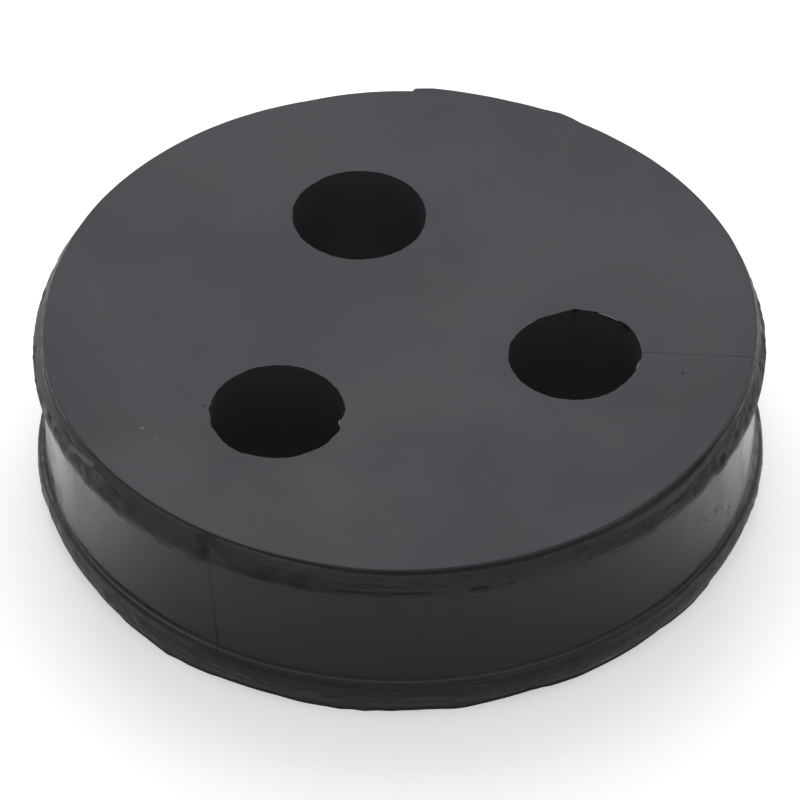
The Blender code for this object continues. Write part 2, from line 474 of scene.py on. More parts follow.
def fade(tree, value, low, high, first=0.0, last=1.0):
    """A smooth step of a value from one level to another."""
    node = add_node(tree, "ShaderNodeMapRange", {0: value, 1: low, 2: high, 3: first, 4: last})
    node.interpolation_type = "SMOOTHSTEP"
    return node.outputs[0]


# The moulding

def slope_radius(depth):
    """The plain section's radius at a depth below the face, down to the ridge."""
    levels = (0.0, DROP_FOOT, RIDGE_TOP)
    return np.interp(depth, levels, (FACE_RADIUS, FACE_RADIUS + DROP_FLARE, RIDGE_RADIUS))


def lip_rows(slope_rows, waist_rows):
    """Half of the rim's section, as radius, depth below the face, and how freely the skin wanders there."""
    rows = [(0.0, 0.0, 0.0)]
    for inset in FACE_ROWS:
        rows.append((FACE_RADIUS - inset * MM, 0.0, 0.0))
    for step in range(ROUND_STEPS + 1):
        angle = step / ROUND_STEPS * math.pi / 2
        radius = FACE_RADIUS - FACE_ROUND + FACE_ROUND * math.sin(angle)
        depth = FACE_ROUND * (1 - math.cos(angle))
        rows.append((radius, depth, EDGE_WANDER))
    for row in slope_rows:
        depth = row * MM
        wander = SLOPE_WANDER + (RIDGE_WANDER - SLOPE_WANDER) * depth / RIDGE_TOP
        rows.append((slope_radius(depth), depth, wander))
    rows.append((RIDGE_RADIUS, (RIDGE_TOP + RIDGE_FOOT) / 2, RIDGE_WANDER))
    for step in range(UNDERSIDE_STEPS + 1):
        angle = step / UNDERSIDE_STEPS * math.pi / 2
        inward = UNDERSIDE_ROUND * (1 - math.cos(angle))
        down = (UNDERSIDE - RIDGE_FOOT) * math.sin(angle)
        rows.append((RIDGE_RADIUS - inward, RIDGE_FOOT + down, RIDGE_WANDER - UNDERSIDE_CALM * step))
    for outward, below in FILLET_ROWS:
        rows.append((WAIST_RADIUS + outward * MM, UNDERSIDE + below * MM, FILLET_WANDER))
    for below in waist_rows:
        rows.append((WAIST_RADIUS, UNDERSIDE + below * MM, WAIST_WANDER))
    return rows


def section_mesh():
    """The whole section as a line of points with the wander weight on each."""
    upper = lip_rows(UPPER_SLOPE_ROWS, UPPER_WAIST_ROWS)
    lower = lip_rows(LOWER_SLOPE_ROWS, LOWER_WAIST_ROWS)
    rows = [(radius, THICKNESS - depth, wander) for radius, depth, wander in upper]
    rows += lower[::-1]
    mesh = bpy.data.meshes.new("section")
    points = [(radius, 0.0, height) for radius, height, wander in rows]
    edges = [(index, index + 1) for index in range(len(points) - 1)]
    mesh.from_pydata(points, edges, [])
    weights = mesh.attributes.new("wander", "FLOAT", "POINT")
    weights.data.foreach_set("value", [wander for radius, height, wander in rows])
    return mesh


def moulding_tree():
    """Turn the section round the axis and let the lips wander, with a rough grain on them."""
    tree = bpy.data.node_groups.new("turned_moulding", "GeometryNodeTree")
    sockets = {"Section": "Geometry", "Rim Steps": "Int"}
    for name in ("Grain Height", "Grain Scale", "Sway Height", "Sway Scale"):
        sockets[name] = "Float"
    for name in ("Ripple Height", "Ripple Scale", "Seed"):
        sockets[name] = "Float"
    sockets["Rubber"] = "Material"
    for name, kind in sockets.items():
        tree.interface.new_socket(name, in_out="INPUT", socket_type="NodeSocket" + kind)
    tree.interface.new_socket("Moulding", in_out="OUTPUT", socket_type="NodeSocketGeometry")
    given = tree.nodes.new("NodeGroupInput").outputs

    size = add_node(tree, "GeometryNodeAttributeDomainSize", {0: given["Section"]})
    count = size.outputs["Point Count"]
    columns = math_node(tree, "ADD", given["Rim Steps"], 1)
    grid = add_node(tree, "GeometryNodeMeshGrid", {0: 1.0, 1: 1.0, 2: columns, 3: count})
    spot = add_node(tree, "GeometryNodeInputPosition").outputs[0]
    place = axes_of(tree, spot)
    turn = times(tree, math_node(tree, "ADD", place["X"], 0.5), 2 * math.pi)
    last_row = math_node(tree, "SUBTRACT", count, 1)
    along = times(tree, math_node(tree, "ADD", place["Y"], 0.5), last_row)
    row = math_node(tree, "ROUND", along)

    def sampled(value, kind):
        """What a row of the section holds."""
        inputs = {0: given["Section"], "Value": value, "Index": row}
        return add_node(tree, "GeometryNodeSampleIndex", inputs, data_type=kind).outputs[0]

    named = add_node(tree, "GeometryNodeInputNamedAttribute", {0: "wander"}, data_type="FLOAT")
    wander = sampled(named.outputs[0], "FLOAT")
    section = axes_of(tree, sampled(spot, "FLOAT_VECTOR"))
    radius, height = section["X"], section["Z"]
    cos = math_node(tree, "COSINE", turn)
    sin = math_node(tree, "SINE", turn)

    def field(scale, lift, detail):
        """Noise that closes on itself round the rim, from -1 to 1."""
        around = {0: times(tree, cos, RIDGE_RADIUS), 1: times(tree, sin, RIDGE_RADIUS)}
        around[2] = times(tree, height, lift)
        here = add_node(tree, "ShaderNodeCombineXYZ", around).outputs[0]
        cloud = noise_of(tree, here, scale, detail, given["Seed"])
        return times(tree, math_node(tree, "SUBTRACT", cloud, 0.5), 2.0)

    rough = field(given["Grain Scale"], lift=2.5, detail=3.0)
    grain = times(tree, rough, given["Grain Height"])
    slow = field(given["Sway Scale"], lift=1.0, detail=1.0)
    sway = times(tree, slow, given["Sway Height"])
    moved = times(tree, math_node(tree, "ADD", grain, sway), wander)
    out = math_node(tree, "ADD", radius, moved)
    wavy = field(given["Ripple Scale"], lift=1.0, detail=2.0)
    raised = math_node(tree, "ADD", height, times(tree, wavy, given["Ripple Height"], wander))
    spread = {0: times(tree, out, cos), 1: times(tree, out, sin), 2: raised}
    target = add_node(tree, "ShaderNodeCombineXYZ", spread)
    moving = {0: grid.outputs["Mesh"], "Position": target.outputs[0]}
    turned = add_node(tree, "GeometryNodeSetPosition", moving)
    closed = add_node(tree, "GeometryNodeMergeByDistance", {0: turned.outputs[0], "Distance": MERGE_GAP})
    real = add_node(tree, "GeometryNodeRealizeInstances", {0: closed.outputs[0]})
    painted = add_node(tree, "GeometryNodeSetMaterial", {0: real.outputs[0], "Material": given["Rubber"]})
    tree.links.new(painted.outputs[0], tree.nodes.new("NodeGroupOutput").inputs[0])
    return tree


def plain_mesh(obj, name):
    """The evaluated object as a plain mesh."""
    graph = bpy.context.evaluated_depsgraph_get()
    mesh = bpy.data.meshes.new_from_object(obj.evaluated_get(graph), depsgraph=graph)
    mesh.name = name
    return mesh


def turned_moulding(rubber):
    """The disc before it is cut, as a plain mesh."""
    obj = add_object("moulding", section_mesh())
    tree = moulding_tree()
    modifier = obj.modifiers.new("turned_moulding", "NODES")
    modifier.node_group = tree
    sizes = {
        "Rim Steps": RIM_STEPS,
        "Grain Height": 0.045 * MM,
        "Grain Scale": 900.0,
        "Sway Height": 0.05 * MM,
        "Sway Scale": 70.0,
        "Ripple Height": 0.13 * MM,
        "Ripple Scale": 520.0,
        "Seed": 3.0,
        "Rubber": rubber,
    }
    for item in tree.interface.items_tree:
        if item.in_out == "INPUT" and item.name in sizes:
            modifier[item.identifier] = sizes[item.name]
    mesh = plain_mesh(obj, "moulding")
    bpy.data.objects.remove(obj)
    tidy = bmesh.new()
    tidy.from_mesh(mesh)
    bmesh.ops.recalc_face_normals(tidy, faces=tidy.faces)
    tidy.to_mesh(mesh)
    tidy.free()
    shape_lips(mesh)
    return mesh


def rim_share(table, degrees):
    """A table's value at each plan angle, read between its degrees."""
    angles = [row[0] for row in table]
    values = [row[1] for row in table]
    return np.interp(degrees, angles, values, period=360)


def round_rim(table, degrees):
    """A value in metres at each plan angle, from a table of degrees and millimetres."""
    return rim_share(table, degrees) * MM


def lumps(x, y, z, scale, seed):
    """Soft lumps of about -1 to 1 at each point."""
    total = np.zeros(len(x))
    rng = np.random.default_rng(seed)
    for octave in range(3):
        for wave in range(5):
            way = rng.normal(size=3)
            way *= scale * 2 ** octave / np.linalg.norm(way)
            phase = rng.uniform(0, 2 * math.pi)
            total += np.sin(way[0] * x + way[1] * y + way[2] * z + phase) / 2 ** octave
    return total / 4


def patchy(lumpy, middle, swing, least, most):
    """A share that comes and goes with soft lumps."""
    return np.clip(middle + swing * lumpy, least, most)


def worn_slope(place, degrees, depth, upper, slope, shift):
    """The radius that each lip's worn slope has at every point, and the painted light and shade and pale
    flash on its skin there.
    """
    x, y, z = place
    flat = 0 * z
    foot = np.where(upper, round_rim(DROP_FEET, degrees), DROP_FOOT)
    foot += FOOT_STRAY * lumps(x, y, flat, scale=1400, seed=1)
    bulge = np.where(upper, round_rim(BULGE_DEPTHS, degrees), LOWER_BULGE)
    broad, fine = lumps(x, y, flat, scale=900, seed=2), lumps(x, y, flat, scale=2600, seed=7)
    bulge += (BULGE_STRAYS[0] * broad + BULGE_STRAYS[1] * fine) * MM
    top = FACE_RADIUS + shift
    start = top + DROP_LEAN
    crown = slope_radius(bulge) + SLOPE_BULGE
    down_share = np.clip((depth - foot) / (bulge - foot), 0, 1)
    under_share = np.clip((depth - bulge) / (RIDGE_TOP - bulge), 0, 1)
    wanted = start + (crown - start) * down_share ** SLOPE_CURVE
    wanted = np.where(depth > bulge, crown + (RIDGE_RADIUS - crown) * under_share, wanted)
    wanted = np.where(depth < foot, top + DROP_LEAN * depth / foot, wanted)

    half = round_rim(CREASE_WIDTHS, degrees)
    crease = np.exp(-((depth - foot + CREASE_LIFT * half) / half) ** 4) * upper
    crease_depth = round_rim(CREASE_DEPTHS, degrees)
    wanted -= crease * crease_depth

    above_bulge = np.clip((bulge - depth) / BAND_FADE + 0.5, 0, 1)
    band = above_bulge * np.clip((depth - foot) / FOOT_FADE + 0.5, 0, 1)
    base = np.clip((depth - bulge) / BASE_FADE, 0, 1) * slope
    mottles, pimples = lumps(x, y, z, scale=1500, seed=3), lumps(x, y, z, scale=3600, seed=6)
    wanted += (BASE_STRAYS[0] * mottles + BASE_STRAYS[1] * pimples) * MM * base
    dull = rim_share(BASE_DULLNESS_AND_SHADE, degrees) * base * upper
    # Painted light on the lower lip's slope, stronger at the sides
    pale = rim_share(LOWER_PAINTED_LIGHTS, degrees) * patchy(mottles, middle=0.8, swing=0.5, least=0, most=1.2)

    flash_depth = round_rim(FLASH_DEPTHS, degrees) + FLASH_STRAY * lumps(x, y, flat, scale=1100, seed=4)
    flash_half = (0.07 + 0.10 * np.cos(np.radians(degrees)) ** 8) * MM
    flash = np.exp(-((depth - flash_depth) / flash_half) ** 2)
    flash *= rim_share(FLASH_RISES, degrees) * upper
    flash *= patchy(lumps(x, y, flat, scale=1900, seed=5), middle=0.75, swing=0.5, least=0, most=1)
    wanted += FLASH_RISE * flash

    # The light note: painted light on the band and on the lower lip's sides, pale flash with a painted
    # highlight, and painted shade in the crease
    crease_shade = crease * np.clip(crease_depth / FULL_CREASE, 0, 1)
    light = BAND_PAINTED_LIGHT * band - crease_shade + FLASH_PALE_AND_HIGHLIGHT * flash + pale * ~upper
    # The dull band is rougher and also darkened with painted shade
    light -= dull * patchy(mottles, middle=0.75, swing=0.45, least=0.3, most=1) * (1 - flash)
    for angle, level, across, down, deep in DENTS:
        apart = ((degrees - angle + 180) % 360 - 180) * math.pi / 180 * RIDGE_RADIUS
        dent = np.exp(-(apart / (across * MM)) ** 2 - ((depth - level * MM) / (down * MM)) ** 4) * upper
        wanted -= deep * MM * dent
        # Painted shade in the dent, deeper where the dent is deeper
        light -= DENT_PAINTED_SHADE * dent * deep / FULL_DENT
    return wanted, light


def shape_lips(mesh):
    """Press the hand-worn shape into both lips, and note on each point the painted light and shade and pale
    flash on its skin.
    """
    points = np.empty(len(mesh.vertices) * 3)
    mesh.vertices.foreach_get("co", points)
    points = points.reshape(-1, 3)
    x, y, z = points.T
    radius = np.hypot(x, y)
    degrees = np.degrees(np.arctan2(y, x)) % 360
    upper = z > THICKNESS / 2
    depth = np.where(upper, THICKNESS - z, z)
    rim = radius > FACE_RADIUS - RIM_REACH
    slope = rim & (depth > EDGE_DEPTH) & (depth < SLOPE_END)
    shift = np.where(upper, round_rim(FACE_EDGE, degrees), round_rim(LOWER_EDGE, degrees))

    wanted, light = worn_slope((x, y, z), degrees, depth, upper, slope, shift)
    radius = np.where(slope, radius + wanted - slope_radius(depth), radius)

    ridge = rim & ~upper & (radius > WAIST_RADIUS + 0.5 * MM)
    ridge_levels = (0.5 * RIDGE_TOP, RIDGE_TOP, UNDERSIDE, UNDERSIDE + 0.2 * MM)
    ridge_share = np.interp(depth, ridge_levels, (0.0, 1.0, 1.0, 0.0))
    radius = np.where(ridge, radius + round_rim(LOWER_RIDGES, degrees) * ridge_share, radius)

    edge = rim & (depth <= EDGE_DEPTH)
    edge_share = np.clip((radius - FACE_RADIUS + RIM_REACH) / (0.5 * MM), 0, 1)
    radius = np.where(edge, radius + shift * edge_share, radius)

    at_ledge = np.abs(depth - UNDERSIDE - LEDGE_MIDDLE) < LEDGE_HALF
    ledge = rim & ~upper & at_ledge & (radius < RIDGE_RADIUS - 0.3 * MM)
    lifted = z + np.where(ledge, round_rim(LEDGE_RISES, degrees), 0)

    foot_share = np.clip((UNDERSIDE + FLARE_HEIGHT - z) / FLARE_HEIGHT, 0, 1) ** FLARE_CURVE
    wall = rim & ~upper & (z > UNDERSIDE - 0.01 * MM) & (radius < WAIST_RADIUS + 0.2 * MM)
    radius = np.where(wall, radius + round_rim(WAIST_FLARES, degrees) * foot_share, radius)

    angle = np.radians(degrees)
    points[:, 0] = radius * np.cos(angle)
    points[:, 1] = radius * np.sin(angle)
    points[:, 2] = lifted
    mesh.vertices.foreach_set("co", points.ravel())
    note = mesh.attributes.new("light", "FLOAT", "POINT")
    noted = slope | (upper & rim & (depth < UNDERSIDE) & (depth > RIDGE_TOP))
    note.data.foreach_set("value", np.clip(np.where(noted, light, 0), -1, 1).astype(np.float32))
    mesh.update()


# Cutters

def closed_tube(bm, rings):
    """A closed solid from rings of points, each ring with as many points as the next."""
    made = [[bm.verts.new(point) for point in ring] for ring in rings]
    for lower, upper in zip(made, made[1:]):
        count = len(lower)
        for index in range(count):
            after = (index + 1) % count
            bm.faces.new((lower[index], lower[after], upper[after], upper[index]))
    bm.faces.new(list(reversed(made[0])))
    bm.faces.new(made[-1])


def hole_rings(index):
    """A hole's wall, a little ragged at both faces."""
    x, y = hole_centre(index)
    levels = [row * MM for row in HOLE_ROWS]
    heights = [-CUT_MARGIN] + levels + [THICKNESS / 2]
    heights += [THICKNESS - level for level in reversed(levels)] + [THICKNESS + CUT_MARGIN]
    turns = np.degrees(np.arange(HOLE_STEPS) * 2 * math.pi / HOLE_STEPS)
    stray = round_rim(HOLE_EDGES[index], turns)
    rings = []
    for height in heights:
        fading = math.exp(-max(0.0, THICKNESS - height) / STRAY_FADE)
        share = LEAST_STRAY + (1 - LEAST_STRAY) * fading
        near = min(abs(height), abs(THICKNESS - height))
        edge = math.exp(-near / RAGGED_FADE) if 0 <= height <= THICKNESS else 1.0
        ring = []
        for step in range(HOLE_STEPS):
            angle = 2 * math.pi * step / HOLE_STEPS
            where = Vector((math.cos(angle) * 7 + index * 20, math.sin(angle) * 7, height * 300))
            rough = WALL_STRAY * noise.noise(where * 0.4) + edge * RAGGED_EDGE * noise.noise(where * 1.5)
            radius = HOLE_RADIUS + rough + share * stray[step]
            ring.append((x + radius * math.cos(angle), y + radius * math.sin(angle), height))
        rings.append(ring)
    return rings


def slit_rings(index):
    """A knife slit's thin gap, from inside the hole to beyond the rim, that wanders a little."""
    x, y = hole_centre(index)
    ahead = Vector((math.cos(SLIT_DIRECTIONS[index]), math.sin(SLIT_DIRECTIONS[index]), 0.0))
    across = Vector((-ahead.y, ahead.x, 0.0))
    rings = []
    stand = THICKNESS + CUT_MARGIN
    if index == FRONT_LEFT:
        stand = THICKNESS - UNDERSIDE - 0.15 * MM
    for level in range(SLIT_LEVELS + 1):
        height = -CUT_MARGIN + level / SLIT_LEVELS * (stand + CUT_MARGIN)
        lean = 0.0
        if index == FRONT_LEFT:
            heights, leans = zip(*SLIT_LEAN)
            lean = float(np.interp(height / MM, heights, leans)) * MM
        left, right = [], []
        for step in range(SLIT_STEPS + 1):
            reach = SLIT_START + step / SLIT_STEPS * (SLIT_END - SLIT_START)
            where = Vector((reach * 180 + 50 * index, height * 120, 3.0))
            sway = SLIT_SWAY * noise.noise(where) + SLIT_RIPPLE * noise.noise(where * 3.1)
            sway += SLIT_OFFSETS[index] + lean * min(1.0, max(0.0, (reach - LEAN_START) / LEAN_RUN))
            middle = Vector((x, y, height)) + ahead * reach + across * sway
            gap = across * (slit_width(index, reach, height) / 2)
            left.append(middle + gap)
            right.append(middle - gap)
        rings.append([tuple(spot) for spot in right + left[::-1]])
    return rings


def slit_width(index, reach, height):
    """How far a slit gapes, in metres, at a reach from its hole's axis and a height."""
    share = 0.75 + 0.6 * noise.noise(Vector((reach * 260 + 9 * index, height * 90, 7.0)))
    wide = SLIT_WIDTHS[index]
    if index == FRONT_LEFT:
        near_face = math.exp(-max(0.0, THICKNESS - height) / (3 * MM))
        at_rim = min(1.0, max(0.0, (reach - GAPE_START) / GAPE_RUN))
        low_lip = min(1.0, max(0.0, (height - UNDERSIDE) / LIP_GAPE_FADE))
        wide = SHUT_WIDTH + (wide - SHUT_WIDTH) * at_rim * (1 - near_face) * low_lip
    return max(LEAST_WIDTH, wide * share) * MM


def cutting_object(name, bm, rubber):
    """An object that is only there to cut, of the rubber that its cuts lay bare."""
    mesh = bpy.data.meshes.new(name)
    bm.to_mesh(mesh)
    bm.free()
    mesh.materials.append(rubber)
    return add_object(name, mesh)


def tube_cutter(name, ring_sets, rubber):
    """A cutter of closed tubes, one for each set of rings."""
    bm = bmesh.new()
    for rings in ring_sets:
        closed_tube(bm, rings)
    bmesh.ops.recalc_face_normals(bm, faces=bm.faces)
    return cutting_object(name, bm, rubber)


def pit_cutter(rubber):
    """Small round dents for the upper face."""
    bm = bmesh.new()
    for x, y, size in PITS:
        place = Matrix.Translation((x * MM, y * MM, THICKNESS + 0.3 * size * MM))
        bmesh.ops.create_icosphere(bm, subdivisions=3, radius=size * MM, matrix=place)
    return cutting_object("pit_bits", bm, rubber)


def add_sliver(bm, notes, spine, light):
    """A thin closed flake along a line: each step gives its middle, its way across and its way out."""
    rings = []
    steps = len(spine) - 1
    for index, (middle, across, out) in enumerate(spine):
        share = index / steps
        ragged = 0.75 + 0.5 * noise.noise(middle * 2600)
        taper = max(SLIVER_TIP, math.sin(math.pi * share) ** 0.5) * ragged
        side = across * taper / 2
        lift = out * max(0.25, taper)
        sunk = out.normalized() * SLIVER_ROOT
        low, high = middle - sunk, middle + lift
        corners = (low + side, middle + side * 0.98 + lift * 0.3, high + side * 0.35,
                   high - side * 0.35, middle - side * 0.98 + lift * 0.3, low - side)
        rings.append(corners)
    before = len(bm.faces)
    closed_tube(bm, rings)
    bm.faces.ensure_lookup_table()
    made = bm.faces[before:]
    bmesh.ops.recalc_face_normals(bm, faces=made)
    for face in made:
        face.smooth = True
        for vert in face.verts:
            vert[notes[0]] = light
            vert[notes[1]] = 1.0


def rim_spine(surface, first, first_depth, last, last_depth, wide, proud):
    """The line of a flake that lies on the lip's surface."""
    spine = []
    steps = max(10, int(abs(last - first) * 3))
    for step in range(steps + 1):
        share = step / steps
        angle = math.radians(first + share * (last - first))
        depth = first_depth + share * (last_depth - first_depth)
        bend = 0.12 * noise.noise(Vector((first, share * 5, 0.0)))
        outward = Vector((math.cos(angle), math.sin(angle), 0.0))
        height = THICKNESS - (depth + bend) * MM
        start = outward * (RIDGE_RADIUS + 4 * MM)
        start.z = height
        spine.append(surface.ray_cast(start, -outward)[:2])
    line = []
    for index, (spot, normal) in enumerate(spine):
        ahead = spine[min(index + 1, steps)][0] - spine[max(index - 1, 0)][0]
        across = ahead.cross(normal).normalized() * wide * MM
        line.append((spot, across, normal * proud * MM))
    return line


def hole_spine(index, first, last, wide):
    """The line of a flake that stands in from a hole's upper edge."""
    x, y = hole_centre(index)
    line = []
    steps = max(12, int((last - first) * 2))
    for step in range(steps + 1):
        angle = math.radians(first + step / steps * (last - first))
        outward = Vector((math.cos(angle), math.sin(angle), 0.0))
        stray = float(round_rim(HOLE_EDGES[index], math.degrees(angle)))
        radius = HOLE_RADIUS + stray - wide * MM * SLIVER_INWARD
        middle = Vector((x, y, THICKNESS - 0.01 * MM)) + outward * radius
        across = (outward * wide + Vector((0.0, 0.0, -0.25 * wide))) * MM
        out = Vector((0.0, 0.0, 0.05 * MM))
        line.append((middle, across, out))
    return line


def add_flash(mesh):
    """The slivers of rubber left on the lip at the right slit and on the holes' edges."""
    bm = bmesh.new()
    bm.from_mesh(mesh)
    notes = (bm.verts.layers.float["light"], bm.verts.layers.float.new("torn"))
    surface = BVHTree.FromBMesh(bm)
    for first, first_depth, last, last_depth, wide, proud, light in RIM_SLIVERS:
        add_sliver(bm, notes, rim_spine(surface, first, first_depth, last, last_depth, wide, proud), light)
    for index, first, last, wide, light in HOLE_SLIVERS:
        add_sliver(bm, notes, hole_spine(index, first, last, wide), light)
    bm.to_mesh(mesh)
    bm.free()


def cut_moulding(mesh, rubber):
    """The moulding with its holes, slits and pits, as the piece that stands for the solid."""
    piece = add_object("moulded_insert", mesh)
    cutters = [
        tube_cutter("hole_bars", [hole_rings(index) for index in range(3)], rubber),
        tube_cutter("slit_blades", [slit_rings(index) for index in range(3)], rubber),
        pit_cutter(rubber),
    ]
    for tool in cutters:
        boolean = piece.modifiers.new(tool.name, "BOOLEAN")
        boolean.operation = "DIFFERENCE"
        boolean.solver = "MANIFOLD"
        boolean.object = tool
    finished = plain_mesh(piece, "moulded_insert")
    piece.modifiers.clear()
    piece.data = finished
    for tool in cutters:
        bpy.data.objects.remove(tool)
    add_flash(finished)
    finished.materials.clear()
    finished.materials.append(rubber)
    finished.polygons.foreach_set("material_index", np.zeros(len(finished.polygons), dtype=np.int32))
    finished.shade_smooth()
    finished.set_sharp_from_angle(angle=SHARP_ANGLE)
    return piece


# Finish

def distance_from(tree, place, x, y):
    """How far a point lies from an upright line, in metres."""
    flat = vector_node(tree, "MULTIPLY", place, (1.0, 1.0, 0.0))[0]
    return vector_node(tree, "DISTANCE", flat, (x, y, 0.0))["Value"]


def mix_value(tree, share, first, last):
    """One value faded into another."""
    node = add_node(tree, "ShaderNodeMix", {0: share, 2: first, 3: last}, data_type="FLOAT")
    return node.outputs[0]


def blend(tree, share, first, last):
    """One colour faded into another."""
    node = add_node(tree, "ShaderNodeMix", {0: share, 6: first, 7: last}, data_type="RGBA")
    return node.outputs[2]


def between(tree, value, levels):
    """1 between the two middle levels of four, fading to 0 at the outer ones."""
    start, full, fading, end = (level * MM for level in levels)
    return times(tree, fade(tree, value, end, fading), fade(tree, value, start, full))


def hole_wall_share(tree, place, below):
    """1 on the walls of the cable holes."""
    nearest = None
    for index in range(3):
        x, y = hole_centre(index)
        apart = distance_from(tree, place, x, y)
        nearest = apart if nearest is None else math_node(tree, "MINIMUM", nearest, apart)
    inside = fade(tree, nearest, HOLE_RADIUS + 0.25 * MM, HOLE_RADIUS + 0.1 * MM)
    return times(tree, inside, fade(tree, below, 0.03 * MM, 0.2 * MM))


def scuff_share(tree, place):
    """1 in the small worn spots on the waist, broken up by noise."""
    total = None
    broken = fade(tree, noise_of(tree, place, *SCUFF_BREAKS), *SCUFF_RANGE)
    for angle, height, size in SCUFFS:
        turn = math.radians(angle)
        spot = (WAIST_RADIUS * math.cos(turn), WAIST_RADIUS * math.sin(turn), height * MM)
        apart = vector_node(tree, "DISTANCE", place, spot)["Value"]
        near = fade(tree, apart, size * MM, 0.2 * size * MM)
        total = near if total is None else larger(tree, total, near)
    return times(tree, total, broken)


def torn_mark_share(tree, place, height, rough_edge):
    """How pale the torn marks on the lips are."""
    plan = axes_of(tree, place)
    girth = times(tree, math_node(tree, "ARCTAN2", plan["Y"], plan["X"]), RIDGE_RADIUS)
    spot = add_node(tree, "ShaderNodeCombineXYZ", {0: girth, 1: height}).outputs[0]
    total = 0.0
    for first_angle, first_depth, last_angle, last_depth, half, amount in TORN_MARKS:
        first = Vector((math.radians(first_angle - 360) * RIDGE_RADIUS, THICKNESS - first_depth * MM, 0.0))
        last = Vector((math.radians(last_angle - 360) * RIDGE_RADIUS, THICKNESS - last_depth * MM, 0.0))
        along = last - first
        offset = vector_node(tree, "SUBTRACT", spot, first)[0]
        run = vector_node(tree, "DOT_PRODUCT", offset, along / along.length_squared)["Value"]
        held = add_node(tree, "ShaderNodeClamp", {0: run, 1: 0.0, 2: 1.0}).outputs[0]
        scaled = add_node(tree, "ShaderNodeVectorMath", {0: along, "Scale": held}, operation="SCALE")
        apart = vector_node(tree, "DISTANCE", offset, scaled.outputs[0])["Value"]
        ragged = math_node(tree, "MULTIPLY_ADD", rough_edge, 1.6 * half * MM, apart)
        share = fade(tree, ragged, 1.15 * half * MM, 0.1 * half * MM, 0.0, amount)
        total = larger(tree, total, share)
    return total


def speck_share(tree, place, height, rough_edge):
    """How pale the specks on the upper face are."""
    on_top = fade(tree, height, THICKNESS - 0.2 * MM, THICKNESS - 0.1 * MM)
    total = 0.0
    for x, y, size, amount in SPECKS:
        apart = distance_from(tree, place, x * MM, y * MM)
        ragged = math_node(tree, "MULTIPLY_ADD", rough_edge, 0.6 * size * MM, apart)
        share = fade(tree, ragged, size * MM, 0.0, 0.0, amount)
        total = larger(tree, total, times(tree, share, on_top))
    return total


def skin_parts(tree):
    """Where each part of the skin lies, as shares from 0 to 1, and the noises that they have in common."""
    spots = add_node(tree, "ShaderNodeTexCoord").outputs
    place = spots["Object"]
    spot = axes_of(tree, place)
    across, height = spot["X"], spot["Z"]
    slant = axes_of(tree, spots["Normal"])["Z"]
    below = math_node(tree, "MINIMUM", height, math_node(tree, "SUBTRACT", THICKNESS, height))
    radius = distance_from(tree, place, 0.0, 0.0)

    on_rim = fade(tree, radius, FACE_RADIUS - 2 * MM, FACE_RADIUS - 1 * MM)
    on_lip = fade(tree, radius, WAIST_RADIUS + 0.05 * MM, WAIST_RADIUS + 0.25 * MM)
    near_foot = fade(tree, below, 5.9 * MM, 5.3 * MM)
    off_lip = fade(tree, radius, WAIST_RADIUS + 0.14 * MM, WAIST_RADIUS + 0.05 * MM)
    light = add_node(tree, "ShaderNodeAttribute", attribute_name="light").outputs["Fac"]
    rough_edge = math_node(tree, "SUBTRACT", noise_of(tree, place, *TORN_EDGE), 0.5)
    marks = times(tree, torn_mark_share(tree, place, height, rough_edge), on_rim)
    stretch = vector_node(tree, "MULTIPLY", place, (1.0, 1.0, 0.5))[0]
    return SimpleNamespace(
        place=place,
        level=fade(tree, math_node(tree, "ABSOLUTE", slant), 0.45, 0.9),
        flat=fade(tree, slant, 0.85, 0.97),
        # Where painted shade goes under an overhang
        overhung=fade(tree, slant, -0.6, -0.9),
        # Where painted light on the ledge is stronger at the sides, and in the corner on the left
        sideways=fade(tree, math_node(tree, "ABSOLUTE", across), 22 * MM, 38 * MM),
        leftward=fade(tree, across, -18 * MM, -34 * MM),
        face=fade(tree, below, 0.25 * MM, 0.05 * MM),
        lip=larger(tree, on_lip, times(tree, near_foot, on_rim)),
        ledge=times(tree, between(tree, height, LEDGE_LEVELS), fade(tree, slant, 0.1, 0.45)),
        # Painted light in the corner above the lower ledge
        corner=times(tree, between(tree, height, CORNER_LEVELS), on_rim, off_lip),
        hole=hole_wall_share(tree, place, below),
        scuff=scuff_share(tree, place),
        marks=larger(tree, marks, speck_share(tree, place, height, rough_edge)),
        # The light note: painted light and pale flash where positive, painted shade where negative
        light=light,
        pale=math_node(tree, "POWER", larger(tree, light, 0.0), 3.0),
        dark=larger(tree, times(tree, light, -1.0), 0.0),
        torn=add_node(tree, "ShaderNodeAttribute", attribute_name="torn").outputs["Fac"],
        cloud=noise_of(tree, place, *CLOUD),
        warm=noise_of(tree, place, *WARM),
        mottle=noise_of(tree, place, *MOTTLE),
        streak=noise_of(tree, stretch, *STREAK),
    )


def lip_colour(tree, part):
    """The lips: mottled on the slope and lighter where they face up or down, with painted shade underneath
    and in the ledge's fillet, and a paler ledge with painted light at its sides.
    """
    mottled = fade(tree, part.mottle, *MIDDLE_RANGE)
    tone = blend(tree, mottled, LIP_DARK, LIP_PALE)
    tone = blend(tree, part.level, tone, LIP_LEVEL)
    # Painted shade under the lip's overhang
    tone = blend(tree, part.overhung, tone, LIP_UNDERSIDE_SHADE)
    # Painted shade in the ledge's fillet, a paler tone on its flat
    ledge_tone = blend(tree, part.flat, LEDGE_FILLET_SHADE, LEDGE_TONE_AND_CORNER_LIGHT)
    # Painted light: the ledge takes the lighter level tone at the left and right sides
    ledge_tone = blend(tree, part.sideways, ledge_tone, LIP_LEVEL)
    return blend(tree, part.ledge, tone, ledge_tone)


